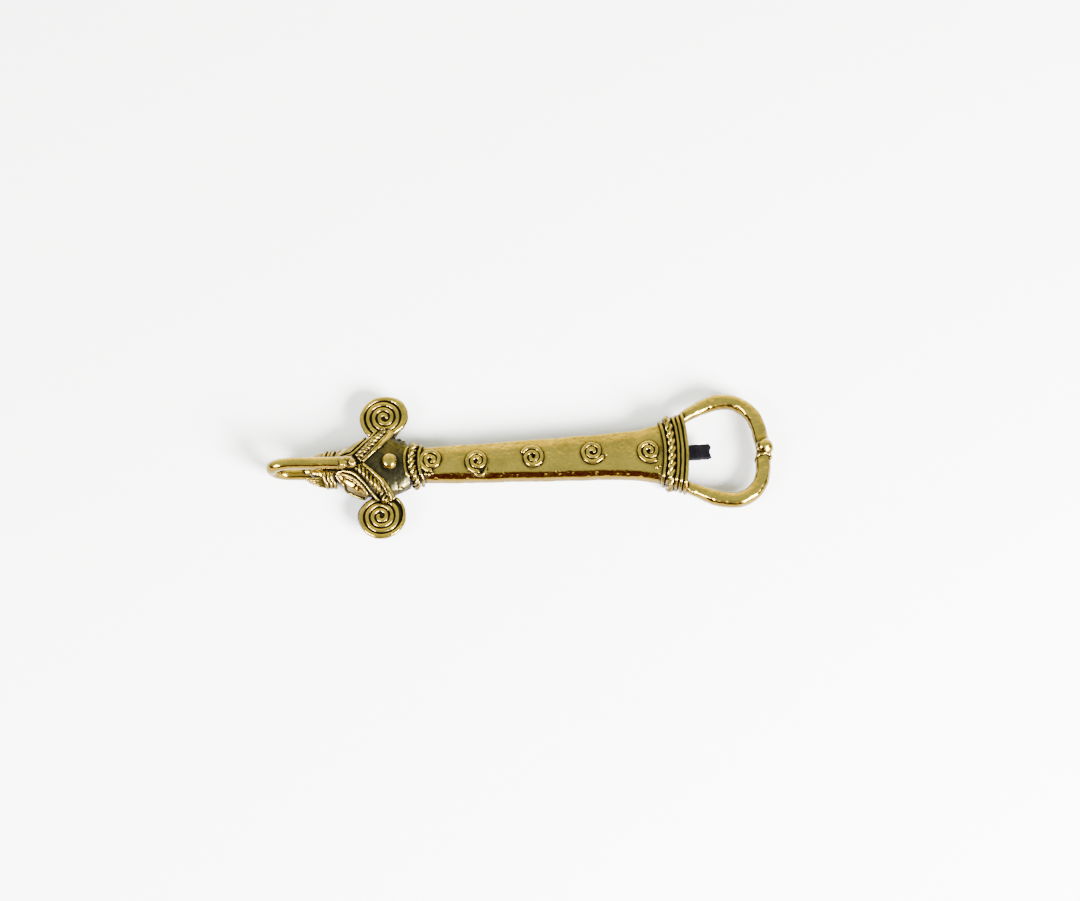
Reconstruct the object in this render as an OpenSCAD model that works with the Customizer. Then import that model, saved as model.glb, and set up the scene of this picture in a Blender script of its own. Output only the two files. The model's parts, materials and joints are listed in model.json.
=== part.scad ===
// Lost-wax brass bottle opener with an elephant's head, and the iron tongue set into it.
// The length runs along X: the trunk is at -X and the opener ring at +X. The face looks up, +Z.
// Every wax wire, rope, coil and bead that the pattern is laid up from is its own solid.

/* [Lie] */
// Height of the casting's middle plane above the table
mid_z = 4.2; // [4.2:0.1:5]

/* [Handle] */
// Width of the handle at the neck
neck_w = 11; // [10:0.2:12]
// Thickness of the handle
handle_t = 6.6; // [5.6:0.1:6.6]
// How much each side of the handle flares out into the ring collar
flare = 4.4; // [3:0.1:5.5]
// Where the flare begins
flare_x = 22; // [15:1:28]
// Far end of the handle, inside the ring collar
handle_end_x = 52; // [51.5:0.1:52.5]

/* [Opener ring] */
// Radius of the ring's front bow, to the middle of the rod
bow_r = 21; // [19:0.5:23]
// Radius of the ring's two shoulders, to the middle of the rod
shoulder_r = 9; // [8:0.5:10]
// Angle from the centre of the bow to where a shoulder begins
shoulder_a = 41; // [38:1:44]
// Angle at which the legs spread
leg_a = 25; // [22:1:26]
// Radius of the rod where it leaves the handle
leg_r = 1.7; // [1.5:0.1:2]
// Radius of the rod at the front of the bow
rod_r = 2.5; // [2.2:0.1:2.7]
// Front of the ring, to the middle of the rod
bow_x = 76.5; // [75:0.5:77]
// How far the ring leans forward on its left side, as a share of the distance from the centre line
ring_lean = 0.12; // [0:0.02:0.16]

/* [Tongue] */
// Width of the iron tongue
tongue_w = 5; // [4:0.2:6]
// Thickness of the iron tongue
tongue_t = 1.8; // [1.4:0.1:2.2]
// Where the tongue's tip is
tongue_tip_x = 60.1; // [58:0.1:62]
// Length of the tongue inside the handle
tongue_in = 8; // [6:1:12]

/* [Head] */
// Widest point of the head, along X
head_x = -44; // [-45:0.5:-43]
// Half the width of the head
head_w = 11; // [10:0.2:12]
// Height of the forehead over the middle plane
head_h = 4.2; // [3.8:0.1:4.6]
// Length of the face, from the widest point to the front
face_l = 17.5; // [16:0.5:18.5]
// Radius of the forehead bead
bead_r = 2.5; // [2:0.1:2.8]

/* [Trunk] */
// Radius of the trunk
trunk_r = 1.9; // [1.6:0.1:2]
// Radius of the trunk's turn, to the middle of the trunk
turn_r = 4.28; // [4.1:0.01:4.5]
// Middle of the turn, along X
turn_x = -73.82; // [-74:0.01:-73.5]
// Fall of the upper strand towards the head
strand_a = 4; // [2:0.5:5]
// Lean of the whole loop to one side
loop_lean = 4; // [0:1:6]

/* [Ears] */
// Middle of each ear coil, from the centre line
ear_y = 17.3; // [17:0.05:17.6]
// Radius of the ear wire
ear_wire_r = 0.85; // [0.7:0.05:0.85]
// Distance from one turn of the ear coil to the next
ear_pitch = 1.8; // [1.75:0.01:1.85]
// Half turns in the ear coil
ear_half_turns = 8; // [6:2:8]
// How far the left ear sits forward of the right one
ear_stagger = 1.9; // [0:0.1:2]

/* [Scrolls] */
// Radius of the scroll wire
scroll_wire_r = 0.63; // [0.5:0.01:0.64]
// Distance from one turn of a scroll to the next
scroll_pitch = 1.3; // [1.29:0.01:1.4]
// Half turns in a scroll
scroll_half_turns = 5; // [4:1:6]

/* [Collars] */
// Radius of the thin wires: neck, jaw and brow
thin_r = 0.55; // [0.4:0.05:0.6]
// Radius of the ring collar's wires
collar_r = 0.65; // [0.5:0.05:0.7]
// Radius of the collars' twisted ropes
rope_r = 1.05; // [0.9:0.05:1.1]
// Radius of the brow's twisted ropes
brow_rope_r = 1.35; // [1:0.05:1.5]
// How far the ring collar's wires bow towards the ring in the middle
collar_bow = 1; // [0:0.1:1.2]

/* [Hidden] */
$fn = 48;

LEFT = -1;                  // the elephant's left is at -Y
RIGHT = 1;
brass = [0.78, 0.62, 0.28];
old_brass = [0.42, 0.36, 0.20];
iron = [0.10, 0.09, 0.09];

body_n = 28;                // points round a lofted body
wire_n = 8;                 // sides of a wire
rope_n = 10;                // sides of a rope's section
lobe = 0.24;                // depth of the valley between a rope's two strands, as a share of its radius
square_e = 3.6;             // how square the handle's section is: 2 is an ellipse
head_e = 2.4;

neck_x = -36;
handle_start_x = -39;
handle_taper = 0.03;        // growth of the half width along the straight stretch
flare_power = 3;
handle_h = handle_t / 2;
back_z = mid_z - handle_h + 0.4;  // the handle's back is flat here
sink = 0.3;                 // how far a wire is melted into what it lies on

scroll_places = [[-28.2, -0.1], [-13.7, -1.2], [3.7, -0.8], [22.6, 0.1], [40.6, -0.5]];
neck_wire_x = [-35.7, -31.9];
neck_rope_x = -33.8;
collar_wire_x = [44.5, 48.5, 49.9, 51.3];
collar_rope_x = 46.5;
jaw_band_x = [-61.7, -60.5, -59.3];
bow_centre_x = bow_x - bow_r;

// ---- vectors and sweeps ----

function unit(v) = v / norm(v);
function mix(a, b, t) = a + (b - a) * t;

function tangent(path, i, closed) =
    let (n = len(path))
    closed ? unit(path[(i + 1) % n] - path[(i + n - 1) % n])
           : unit(path[min(i + 1, n - 1)] - path[max(i - 1, 0)]);

// One ring of a sweep: the section, scaled and twisted, square to the path at point i.
function sweep_ring(path, i, section, scale, twist, across, closed) =
    let (t = tangent(path, i, closed),
         side = unit(cross(across, t)),
         up = cross(t, side),
         c = cos(twist) * scale,
         s = sin(twist) * scale)
    [for (q = section) path[i] + side * (q[0] * c - q[1] * s) + up * (q[0] * s + q[1] * c)];

function circle_section(r, n) = [for (k = [0 : n - 1]) r * [cos(360 * k / n), sin(360 * k / n)]];

// Two strands side by side, as one smooth outline.
function rope_section(r, n) =
    [for (k = [0 : n - 1])
        let (a = 360 * k / n)
        r * (1 - lobe + lobe * cos(2 * a)) * [cos(a), sin(a)]];

// A closed solid through rings of equal length, each anticlockwise seen from ahead.
module skin(rings, closed = false) {
    n = len(rings[0]);
    m = len(rings);
    points = [for (ring = rings) for (p = ring) p];
    walls = [for (i = [0 : m - (closed ? 1 : 2)]) for (j = [0 : n - 1])
        let (a = i * n + j,
             b = i * n + (j + 1) % n,
             c = ((i + 1) % m) * n + j,
             d = ((i + 1) % m) * n + (j + 1) % n)
        each [[a, c, d], [a, d, b]]];
    start = [for (j = [1 : n - 2]) [0, j, j + 1]];
    last = (m - 1) * n;
    end = [for (j = [1 : n - 2]) [last, last + j + 1, last + j]];
    polyhedron(points = points, faces = closed ? walls : concat(walls, start, end));
}

// A round wire along a path. taper gives the radius at its far end as a share of the near one.
module wire(path, r, across = [0, 0, 1], closed = false, taper = 1, sides = wire_n) {
    section = circle_section(r, sides);
    skin([for (i = [0 : len(path) - 1])
        sweep_ring(path, i, section, mix(1, taper, i / (len(path) - 1)), 0, across, closed)],
        closed);
}

// A two-strand rope along a path, twisted by a whole number of half turns.
module rope(path, r, half_twists, across = [0, 0, 1], closed = false) {
    section = rope_section(r, rope_n);
    steps = len(path) - (closed ? 0 : 1);
    skin([for (i = [0 : len(path) - 1])
        sweep_ring(path, i, section, 1, 180 * half_twists * i / steps, across, closed)],
        closed);
}

// A superellipse about (x, 0, z): half width w, reaching up by top and down by bottom.
function oval_ring(x, w, top, bottom, z, e, n, bow = 0) =
    [for (k = [0 : n - 1])
        let (a = 360 * k / n, c = cos(a), s = sin(a))
        [x + bow * abs(s),
         w * sign(c) * pow(abs(c), 2 / e),
         z + (s > 0 ? top : bottom) * sign(s) * pow(abs(s), 2 / e)]];

// ---- handle ----

function handle_w(x) =
    neck_w / 2 + handle_taper * (x - neck_x)
    + flare * pow(max(0, (x - flare_x) / (handle_end_x - 1 - flare_x)), flare_power);

module handle_bar() {
    steps = 34;
    color(brass) difference() {
        skin([for (i = [0 : steps])
            let (x = mix(handle_start_x, handle_end_x, i / steps))
            oval_ring(x, handle_w(x), handle_h, handle_h, mid_z, square_e, body_n)]);
        tongue_block(0.02);
        translate([-100, -50, back_z - 10]) cube([200, 100, 10]);
    }
}

// The space of the tongue, or with play a slot for it.
module tongue_block(play = 0) {
    x = handle_end_x - tongue_in;
    translate([x - play, -tongue_w / 2 - play, mid_z - tongue_t / 2 - play])
        cube([tongue_tip_x - x + 2 * play, tongue_w + 2 * play, tongue_t + 2 * play]);
}

module cap_tongue() {
    bevel = 0.7;
    color(iron) difference() {
        tongue_block();
        for (side = [-1, 1])
            translate([tongue_tip_x, side * tongue_w / 2, mid_z])
                rotate([0, 0, 45])
                    cube([bevel, bevel, 2 * tongue_t], center = true);
    }
}

module coil(wire_r, pitch, half_turns) {
    for (k = [0 : half_turns - 1])
        translate([k % 2 == 0 ? 0 : pitch / 2, 0, 0])
            rotate([0, 0, 180 * (k % 2)])
                rotate_extrude(angle = 180)
                    translate([(k + 1) * pitch / 2, 0]) circle(wire_r);
}

module handle_scroll(i) {
    place = scroll_places[i];
    seat = 0.45;
    color(brass)
        translate([place[0], place[1], mid_z + handle_h + scroll_wire_r - seat])
            coil(scroll_wire_r, scroll_pitch, scroll_half_turns);
}

// ---- collars ----

// The line of a wire of radius r laid round the handle at x.
function round_handle(x, r, n, bow = 0) =
    oval_ring(x, handle_w(x) + r - sink, handle_h + r - sink, min(handle_h + r - sink, mid_z - r),
              mid_z, square_e, n, bow);

module neck_wire(i) {
    color(brass) wire(round_handle(neck_wire_x[i], thin_r + 0.25, 32), thin_r, [1, 0, 0], true);
}

module neck_rope() {
    color(brass) rope(round_handle(neck_rope_x, rope_r, 84), rope_r, 14, [1, 0, 0], true);
}

module collar_wire(i) {
    color(brass)
        wire(round_handle(collar_wire_x[i], collar_r, 36, collar_bow), collar_r, [1, 0, 0], true);
}

module collar_rope() {
    color(brass)
        rope(round_handle(collar_rope_x, rope_r, 108, collar_bow), rope_r, 18, [1, 0, 0], true);
}

// ---- opener ring ----

// The middle line of half the ring, from inside the handle to the front, on side s.
function half_ring(s) =
    let (c = [bow_centre_x + (bow_r - shoulder_r) * cos(shoulder_a),
              (bow_r - shoulder_r) * sin(shoulder_a)],
         a1 = 90 + leg_a,
         leg_end = c + shoulder_r * [cos(a1), sin(a1)],
         root = leg_end - 9.5 * [cos(leg_a), sin(leg_a)],
         inside = [handle_end_x - 3.5, 8.6],
         leg = [for (i = [0 : 5]) mix(root, leg_end, i / 6)],
         shoulder = [for (i = [0 : 9])
             let (a = mix(a1, shoulder_a, i / 10)) c + shoulder_r * [cos(a), sin(a)]],
         bow = [for (i = [0 : 7])
             let (a = mix(shoulder_a, 0, i / 8)) [bow_centre_x, 0] + bow_r * [cos(a), sin(a)]])
    [for (p = concat([inside], leg, shoulder, bow)) [p[0] - s * ring_lean * p[1], s * p[1], mid_z]];

function reversed(list) = [for (i = [len(list) - 1 : -1 : 0]) list[i]];

module opener_ring() {
    path = concat(half_ring(1), [[bow_x, 0, mid_z]], reversed(half_ring(-1)));
    last = len(path) - 1;
    section = circle_section(1, 16);
    color(brass) skin([for (i = [0 : last])
        let (t = 1 - abs(2 * i / last - 1))
        sweep_ring(path, i, section, mix(leg_r, rod_r, min(1, 2.2 * t)), 0, [0, 0, 1], false)]);
}

module ring_knob() {
    knob_r = 2.8;
    color(brass) translate([80 - knob_r, 0, mid_z + 0.6]) sphere(knob_r);
}

// A short wire wound once round the rod beside the knob.
module ring_knob_tie() {
    at = 9;
    path = [for (k = [0 : 19])
        let (a = 18 * k)
        [bow_r + (rod_r + thin_r - sink) * cos(a), 0.35 * sin(a), (rod_r + thin_r - sink) * sin(a)]];
    color(brass) translate([bow_centre_x + 0.4, 0, mid_z]) rotate([0, 0, -at])
        wire(path, thin_r, [0, 1, 0], true);
}

// ---- head ----

function face_t(x) = max(0, min(0.985, (head_x - x) / face_l));
function nape_t(x) = max(0, (x - head_x) / 8.5);
function head_half_w(x) = head_w * pow(1 - pow(face_t(x), 1.6), 0.85) - 2.4 * pow(nape_t(x), 2);
function head_top(x) = head_h * sqrt(1 - pow(face_t(x), 3)) - 0.6 * pow(nape_t(x), 2);

module head_dome() {
    steps = 26;
    front = head_x - 0.97 * face_l;
    color(old_brass) difference() {
        skin([for (i = [0 : steps])
            let (x = mix(front, neck_x + 0.6, i / steps))
            oval_ring(x, head_half_w(x), head_top(x), head_top(x) + 0.6, mid_z, head_e, body_n)]);
        translate([-70, -15, -5]) cube([40, 30, 5]);
    }
}

module forehead_bead() {
    color(brass) translate([-41.1, 0, mid_z + head_h + 0.4]) sphere(bead_r);
}

module jaw() {
    front = -67;
    back = -55;
    steps = 10;
    color(brass) skin([for (i = [0 : steps])
        let (x = mix(front, back, i / steps), t = sqrt(sin(mix(12, 90, i / steps))))
        oval_ring(x, 5.2 * t, 2.8 * t, 2.8 * t, mid_z - 0.4, 2.2, 20)]);
}

module jaw_band_wire(i) {
    path = oval_ring(jaw_band_x[i], 5.9, 3.1, 3.1, mid_z - 0.5, 2.4, 28);
    color(brass) wire(path, thin_r, [1, 0, 0], true);
}

// Three tapering wires side by side, meeting at the point.
module tusk(side) {
    spread = 0.85;
    color(brass) for (k = [-1, 0, 1])
        wire([for (i = [0 : 10])
            let (t = i / 10)
            [mix(-58.5, -68.6 + 0.6 * abs(k), t),
             side * (4.75 - 0.9 * t * t + k * spread * (1 - 0.8 * t)),
             mid_z - 0.3 + 0.5 * (1 - abs(k)) * (1 - t)]],
            0.6, taper = 0.45);
}

// ---- trunk ----

// The wax is stretched where it turns, so the turn is a little thinner than the two strands.
module trunk() {
    root_l = 21;
    tip_x = -60.8;
    stretch = 0.05;
    lap = 0.3;              // how far each strand runs on into the turn
    start_a = 90 - strand_a;
    turn_z = trunk_r + 0.05 + turn_r;
    top_z = turn_z + turn_r;
    color(brass) translate([0, 0, top_z]) rotate([-loop_lean, 0, 0]) translate([turn_x, 0, -turn_r]) {
        rotate([90, 0, 0]) rotate([0, 0, start_a])
            rotate_extrude(angle = 270 - start_a) translate([turn_r, 0]) circle(trunk_r - stretch);
        translate(turn_r * [cos(start_a), 0, sin(start_a)])
            rotate([0, 90 + strand_a, 0])
                translate([0, 0, -lap]) cylinder(h = root_l + lap, r = trunk_r);
        translate([-lap, 0, -turn_r])
            rotate([0, 90, 0]) cylinder(h = tip_x - turn_x + lap, r = trunk_r);
    }
}

module trunk_bead(x, r, rise) {
    color(brass) translate([x, 0, mid_z + rise]) sphere(r);
}

// ---- ears ----

function ear_x(side) = head_x + 1.7 - (side == LEFT ? ear_stagger : 0);

module ear_coil(side) {
    // An even count of half turns reaches this much further to one side than to the other.
    off = [ear_pitch / 2, -ear_pitch / 4];
    color(brass)
        translate([ear_x(side) - off[0], side * ear_y - off[1], mid_z])
            coil(ear_wire_r, ear_pitch, ear_half_turns);
}

// The thin round sheet that the coil is laid on.
module ear_plate(side) {
    plate_t = 0.9;
    color(old_brass) translate([ear_x(side) + 0.3, side * ear_y, mid_z - plate_t])
        cylinder(h = plate_t, r = 6.6);
}

// ---- eyes and brow ----

eye_a = 41;                 // angle of the eye's long axis from the centre line
eye_tilt = 32;              // how far the eye faces out to the side
eye_half_l = 6.1;           // half the length of the eye's rim
lens_half_l = 4.7;          // half the length of the eye itself

module at_eye(side) {
    mirror([0, side == LEFT ? 0 : 1, 0])
        translate([-53.4, -6.3, mid_z + 1.4]) rotate([0, 0, -eye_a]) rotate([eye_tilt, 0, 0])
            children();
}

module eye(side) {
    color(brass) at_eye(side)
        skin([for (i = [0 : 10])
            let (t = mix(-0.97, 0.97, i / 10), r = 1.5 * (1 - t * t))
            [for (k = [0 : 13])
                let (a = 360 * k / 14)
                [t * lens_half_l, r * cos(a), 0.8 * r * sin(a)]]]);
}

module eye_rim(side) {
    half_w = 2.2;
    path = [for (k = [0 : 23])
        let (a = 15 * k, c = cos(a), s = sin(a))
        [eye_half_l * sign(c) * pow(abs(c), 0.8), half_w * sign(s) * pow(abs(s), 1.3), 0]];
    color(brass) at_eye(side) wire(path, thin_r, [0, 0, 1], true);
}

// The line of a brow wire or rope: from the vertex over the trunk's root, out to the ear.
function brow_path(side, back, lift, n) =
    [for (i = [0 : n])
        let (t = i / n)
        [mix(-52.3, -42.6, t) + back * cos(49),
         side * (mix(0.9, 11.9, t) - back * sin(49) * mix(0.2, 1, t)),
         mid_z + head_h - 3 * t * t + lift]];

module brow_rope(side) {
    color(brass) rope(brow_path(side, 0, 0.4, 36), brow_rope_r, 6);
}

module brow_wire(side, back) {
    color(brass) wire(brow_path(side, back, 0.25, 14), thin_r - 0.07);
}

handle_bar();
cap_tongue();
opener_ring();
ring_knob();
ring_knob_tie();
handle_scroll(0);  // handle_scroll_1
handle_scroll(1);  // handle_scroll_2
handle_scroll(2);  // handle_scroll_3
handle_scroll(3);  // handle_scroll_4
handle_scroll(4);  // handle_scroll_5
neck_wire(0);  // neck_wire_front
neck_rope();
neck_wire(1);  // neck_wire_back
collar_wire(0);  // collar_wire_1
collar_rope();
collar_wire(1);  // collar_wire_2
collar_wire(2);  // collar_wire_3
collar_wire(3);  // collar_wire_4
head_dome();
forehead_bead();
trunk();
trunk_bead(-55.6, 2.2, 5.2);  // trunk_bead_large
trunk_bead(-52.7, 1.7, 5);  // trunk_bead_small
jaw();
jaw_band_wire(0);  // jaw_band_wire_1
jaw_band_wire(1);  // jaw_band_wire_2
jaw_band_wire(2);  // jaw_band_wire_3
tusk(LEFT);  // tusk_left
tusk(RIGHT);  // tusk_right
ear_plate(LEFT);  // ear_plate_left
ear_plate(RIGHT);  // ear_plate_right
ear_coil(LEFT);  // ear_coil_left
ear_coil(RIGHT);  // ear_coil_right
eye(LEFT);  // eye_left
eye(RIGHT);  // eye_right
eye_rim(LEFT);  // eye_rim_left
eye_rim(RIGHT);  // eye_rim_right
brow_rope(LEFT);  // brow_rope_left
brow_rope(RIGHT);  // brow_rope_right
brow_wire(LEFT, -2);  // brow_wire_front_left
brow_wire(RIGHT, -2);  // brow_wire_front_right
brow_wire(LEFT, 2);  // brow_wire_middle_left
brow_wire(RIGHT, 2);  // brow_wire_middle_right
brow_wire(LEFT, 2.9);  // brow_wire_back_left
brow_wire(RIGHT, 2.9);  // brow_wire_back_right
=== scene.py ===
"""The looks of a lost-wax brass bottle opener with an elephant's head.

Every wax wire, rope, coil, bead and sheet of the casting is a mesh of its own. Lengths here are
millimetres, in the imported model's frame: +X towards the opener ring, +Z out of the face.
"""
import json
import math

import bpy
from mathutils import Matrix, Vector, noise
from mathutils.bvhtree import BVHTree

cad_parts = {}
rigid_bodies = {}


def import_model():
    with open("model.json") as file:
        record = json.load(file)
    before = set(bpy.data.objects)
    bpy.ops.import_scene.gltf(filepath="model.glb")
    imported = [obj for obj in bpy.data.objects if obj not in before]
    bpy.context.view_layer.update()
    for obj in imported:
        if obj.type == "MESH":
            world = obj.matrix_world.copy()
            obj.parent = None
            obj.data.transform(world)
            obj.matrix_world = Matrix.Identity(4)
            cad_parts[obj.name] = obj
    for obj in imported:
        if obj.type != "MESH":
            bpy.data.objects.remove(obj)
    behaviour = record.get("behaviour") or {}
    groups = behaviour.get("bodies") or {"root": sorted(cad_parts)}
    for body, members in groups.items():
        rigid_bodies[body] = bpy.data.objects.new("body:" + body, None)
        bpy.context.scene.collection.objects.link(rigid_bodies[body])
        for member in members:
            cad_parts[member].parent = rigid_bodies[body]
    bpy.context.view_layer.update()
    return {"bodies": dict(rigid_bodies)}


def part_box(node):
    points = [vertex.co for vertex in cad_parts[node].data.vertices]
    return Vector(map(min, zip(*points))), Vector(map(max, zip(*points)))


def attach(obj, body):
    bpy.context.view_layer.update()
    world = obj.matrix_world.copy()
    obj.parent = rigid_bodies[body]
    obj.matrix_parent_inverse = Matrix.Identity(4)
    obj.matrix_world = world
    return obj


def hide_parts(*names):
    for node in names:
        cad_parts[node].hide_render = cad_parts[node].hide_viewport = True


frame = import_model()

MM = 0.001
ALONG_X = Vector((1, 0, 0))
ALONG_Y = Vector((0, 1, 0))
UP = Vector((0, 0, 1))
LEFT = -1                   # the elephant's left is at -Y
RIGHT = 1


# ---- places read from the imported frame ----

def box(node):
    """The lowest and highest corner of a CAD node, in millimetres."""
    low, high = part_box(node)
    return Vector(low) / MM, Vector(high) / MM


def middle(node):
    low, high = box(node)
    return (low + high) / 2


def mix(a, b, t):
    return a + (b - a) * t


def clamp(value, low=0.0, high=1.0):
    return max(low, min(high, value))


def smooth_step(t):
    t = clamp(t)
    return t * t * (3 - 2 * t)


HANDLE_LOW, HANDLE_HIGH = box("handle_bar")
TRUNK_LOW, TRUNK_HIGH = box("trunk")
MID_Z = middle("opener_ring").z
HANDLE_TOP = HANDLE_HIGH.z


# ---- hand-made unevenness ----

def seeded(p, size, seed):
    return noise.noise(p / size + Vector((seed * 3.7, seed * 1.9, seed * 5.3)))


def wandering(path, amount, size, seed):
    """The path with each point moved a little sideways, as a hand lays a wax wire."""
    def shift(p):
        return Vector((seeded(p, size, seed), seeded(p, size, seed + 11), 0.5 * seeded(p, size, seed + 23)))
    return [p + amount * shift(p) for p in path]


PIT_REACH = 0.42            # a pit's radius, as a share of the distance between pits


def pit_depth(p, size, share, seed):
    """Depth from 0 to 1 of the round casting pits scattered over the surface."""
    distances, places = noise.voronoi(p / size + Vector((seed, seed * 2.3, seed * 0.7)))
    if noise.cell(places[0] * 7.3) > share:
        return 0.0
    return max(0.0, 1 - (distances[0] / PIT_REACH) ** 2)


# ---- curves ----

CUTS_PER_SPAN = 12


def even(points, step, closed=False):
    """A smooth curve through the points, cut into nearly equal steps."""
    n = len(points)
    dense = []
    spans = n if closed else n - 1
    for i in range(spans):
        if closed:
            p0, p1, p2, p3 = (points[(i + k) % n] for k in (-1, 0, 1, 2))
        else:
            p0, p1, p2, p3 = (points[min(max(i + k, 0), n - 1)] for k in (-1, 0, 1, 2))
        for k in range(CUTS_PER_SPAN):
            t = k / CUTS_PER_SPAN
            dense.append(0.5 * (2 * p1 + (p2 - p0) * t + (2 * p0 - 5 * p1 + 4 * p2 - p3) * t * t
                                + (3 * p1 - p0 - 3 * p2 + p3) * t ** 3))
    dense.append(points[0].copy() if closed else points[-1].copy())
    lengths = [0.0]
    for a, b in zip(dense, dense[1:]):
        lengths.append(lengths[-1] + (b - a).length)
    count = max(3, round(lengths[-1] / step))
    out = []
    k = 0
    for i in range(count if closed else count + 1):
        want = lengths[-1] * i / count
        while k < len(dense) - 2 and lengths[k + 1] < want:
            k += 1
        span = max(lengths[k + 1] - lengths[k], 1e-9)
        out.append(dense[k].lerp(dense[k + 1], (want - lengths[k]) / span))
    return out


def path_length(path):
    return sum((b - a).length for a, b in zip(path, path[1:]))


def spiral(centre, inner, outer, end_angle, turns, step):
    """A flat coil that opens anticlockwise and ends at end_angle degrees."""
    total = 2 * math.pi * turns
    end = math.radians(end_angle)
    out = []
    angle = 0.0
    while angle < total:
        r = mix(inner, outer, angle / total)
        a = end - total + angle
        out.append(centre + Vector((r * math.cos(a), r * math.sin(a), 0)))
        angle += step / r
    return out


# ---- sections, as pairs of across and up ----

def flattened(value, exponent):
    """A sine or cosine bent so that a circle turns squarer: the lower the exponent, the squarer."""
    return math.copysign(abs(value) ** exponent, value)


def round_section(r, sides, squash=1.0, power=2.0):
    """A superellipse: the higher the power, the squarer. squash is its height as a share of its width."""
    exponent = 2 / power
    pairs = []
    for k in range(sides):
        a = 2 * math.pi * k / sides
        pairs.append((r * flattened(math.cos(a), exponent), r * squash * flattened(math.sin(a), exponent)))
    return pairs


STRANDS = 3                 # in every rope


def rope_section(r, sides=27):
    """The outline of three round strands that are pressed together."""
    strand = r / 2          # a strand's own radius
    offset = r / 2          # from the rope's middle to a strand's middle
    pairs = []
    for k in range(sides):
        a = 2 * math.pi * k / sides
        from_strand = (a + math.pi / STRANDS) % (2 * math.pi / STRANDS) - math.pi / STRANDS
        beside = offset * math.sin(from_strand)
        reach = offset * math.cos(from_strand) + math.sqrt(strand ** 2 - beside ** 2)
        pairs.append((reach * math.cos(a), reach * math.sin(a)))
    return pairs


def rope_turn(path, spacing):
    """A turn for a rope whose strands come round to the top once in each spacing."""
    count = round(path_length(path) / spacing)
    return lambda share: 2 * math.pi / STRANDS * count * share


# ---- meshes ----

def sweep(path, section, closed=False, across=UP, scale=None, turn=None):
    """Rings of the section, square to the path.

    scale and turn are functions of the share of the path. scale gives the width's and the height's.
    """
    n = len(path)
    rings = []
    for i, p in enumerate(path):
        after = path[(i + 1) % n] if closed else path[min(i + 1, n - 1)]
        before = path[i - 1] if closed else path[max(i - 1, 0)]
        ahead = (after - before).normalized()
        side = across.cross(ahead).normalized()
        up = ahead.cross(side)
        share = i / n if closed else i / (n - 1)
        wide, high = scale(share) if scale else (1.0, 1.0)
        a = turn(share) if turn else 0.0
        c, s = math.cos(a), math.sin(a)
        rings.append([p + side * (u * c - v * s) * wide + up * (u * s + v * c) * high for u, v in section])
    return rings


def round_ends(r, length, width=None):
    """A scale for a wire whose two ends are rounded over one radius. width is a function too."""
    def scale(share):
        near = min(share, 1 - share) * length / r
        ends = math.sqrt(max(1 - (1 - min(near, 1.0)) ** 2, 0.02))
        return ends * (width(share) if width else 1.0), ends
    return scale


def skin(rings, closed=False):
    """Vertices and faces of a closed solid through rings of equal length."""
    n = len(rings[0])
    points = [p for ring in rings for p in ring]
    faces = []
    last = len(rings) if closed else len(rings) - 1
    for i in range(last):
        a, b = i * n, (i + 1) % len(rings) * n
        for j in range(n):
            k = (j + 1) % n
            faces.append((a + j, a + k, b + k, b + j))
    if not closed:
        for start, flip in ((0, True), ((len(rings) - 1) * n, False)):
            ring = points[start:start + n]
            points.append(sum(ring, Vector()) / n)
            centre = len(points) - 1
            for j in range(n):
                edge = (start + j, start + (j + 1) % n)
                faces.append((edge[1], edge[0], centre) if flip else (*edge, centre))
    return points, faces


def joined(*solids):
    points, faces = [], []
    for solid_points, solid_faces in solids:
        start = len(points)
        points += solid_points
        faces += [tuple(start + i for i in face) for face in solid_faces]
    return points, faces


POLE = 0.02                 # a ball's poles are cut off at this share of half a turn, and closed flat


def ball(centre, r, squash=1.0, rows=20):
    around = [2 * math.pi * k / (2 * rows) for k in range(2 * rows)]
    rings = []
    for i in range(rows + 1):
        a = math.pi * mix(POLE, 1 - POLE, i / rows)
        wide, high = math.sin(a), -squash * math.cos(a)
        rings.append([centre + r * Vector((wide * math.cos(b), wide * math.sin(b), high)) for b in around])
    return skin(rings)


def pellet(centre, r):
    """A drop or crumb of wax."""
    return ball(centre, r, squash=0.8, rows=9)


def piece(node, solid, slot, dents=(), pits=None, seed=0):
    """A finished mesh that stands for a CAD node.

    dents are pairs of depth and size along the surface. pits are a depth, a size and a share of places.
    """
    points, faces = solid
    name = node + "_cast"
    mesh = bpy.data.meshes.new(name)
    mesh.from_pydata([p * MM for p in points], [], faces)
    mesh.validate()
    if dents or pits:
        normals = [v.normal.copy() for v in mesh.vertices]
        for vertex, normal, p in zip(mesh.vertices, normals, points):
            move = sum(depth * seeded(p, size, seed + i * 7) for i, (depth, size) in enumerate(dents))
            if pits:
                depth, size, share = pits
                move -= depth * pit_depth(p, size, share, seed)
            vertex.co = (p + normal * move) * MM
    mesh.shade_smooth()
    mesh.materials.append(MATERIALS[slot])
    thing = bpy.data.objects.new(name, mesh)
    bpy.context.scene.collection.objects.link(thing)
    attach(thing, BODY)
    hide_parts(node)
    return thing


# ---- materials ----

def add(tree, kind, inputs=None, **settings):
    """A shader node. An input's value is a number, a colour or another node's output."""
    made = tree.nodes.new(kind)
    for key, value in settings.items():
        setattr(made, key, value)
    for key, value in (inputs or {}).items():
        if isinstance(value, bpy.types.NodeSocket):
            tree.links.new(value, made.inputs[key])
        else:
            made.inputs[key].default_value = value
    return made


def maths(tree, operation, a, b=0.0, clamped=False):
    return add(tree, "ShaderNodeMath", {0: a, 1: b}, operation=operation, use_clamp=clamped).outputs[0]


def blend(tree, share, a, b):
    """Colour a where the share is 0, and colour b where it is 1."""
    return add(tree, "ShaderNodeMix", {0: share, 6: a, 7: b}, data_type="RGBA").outputs[2]


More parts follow.
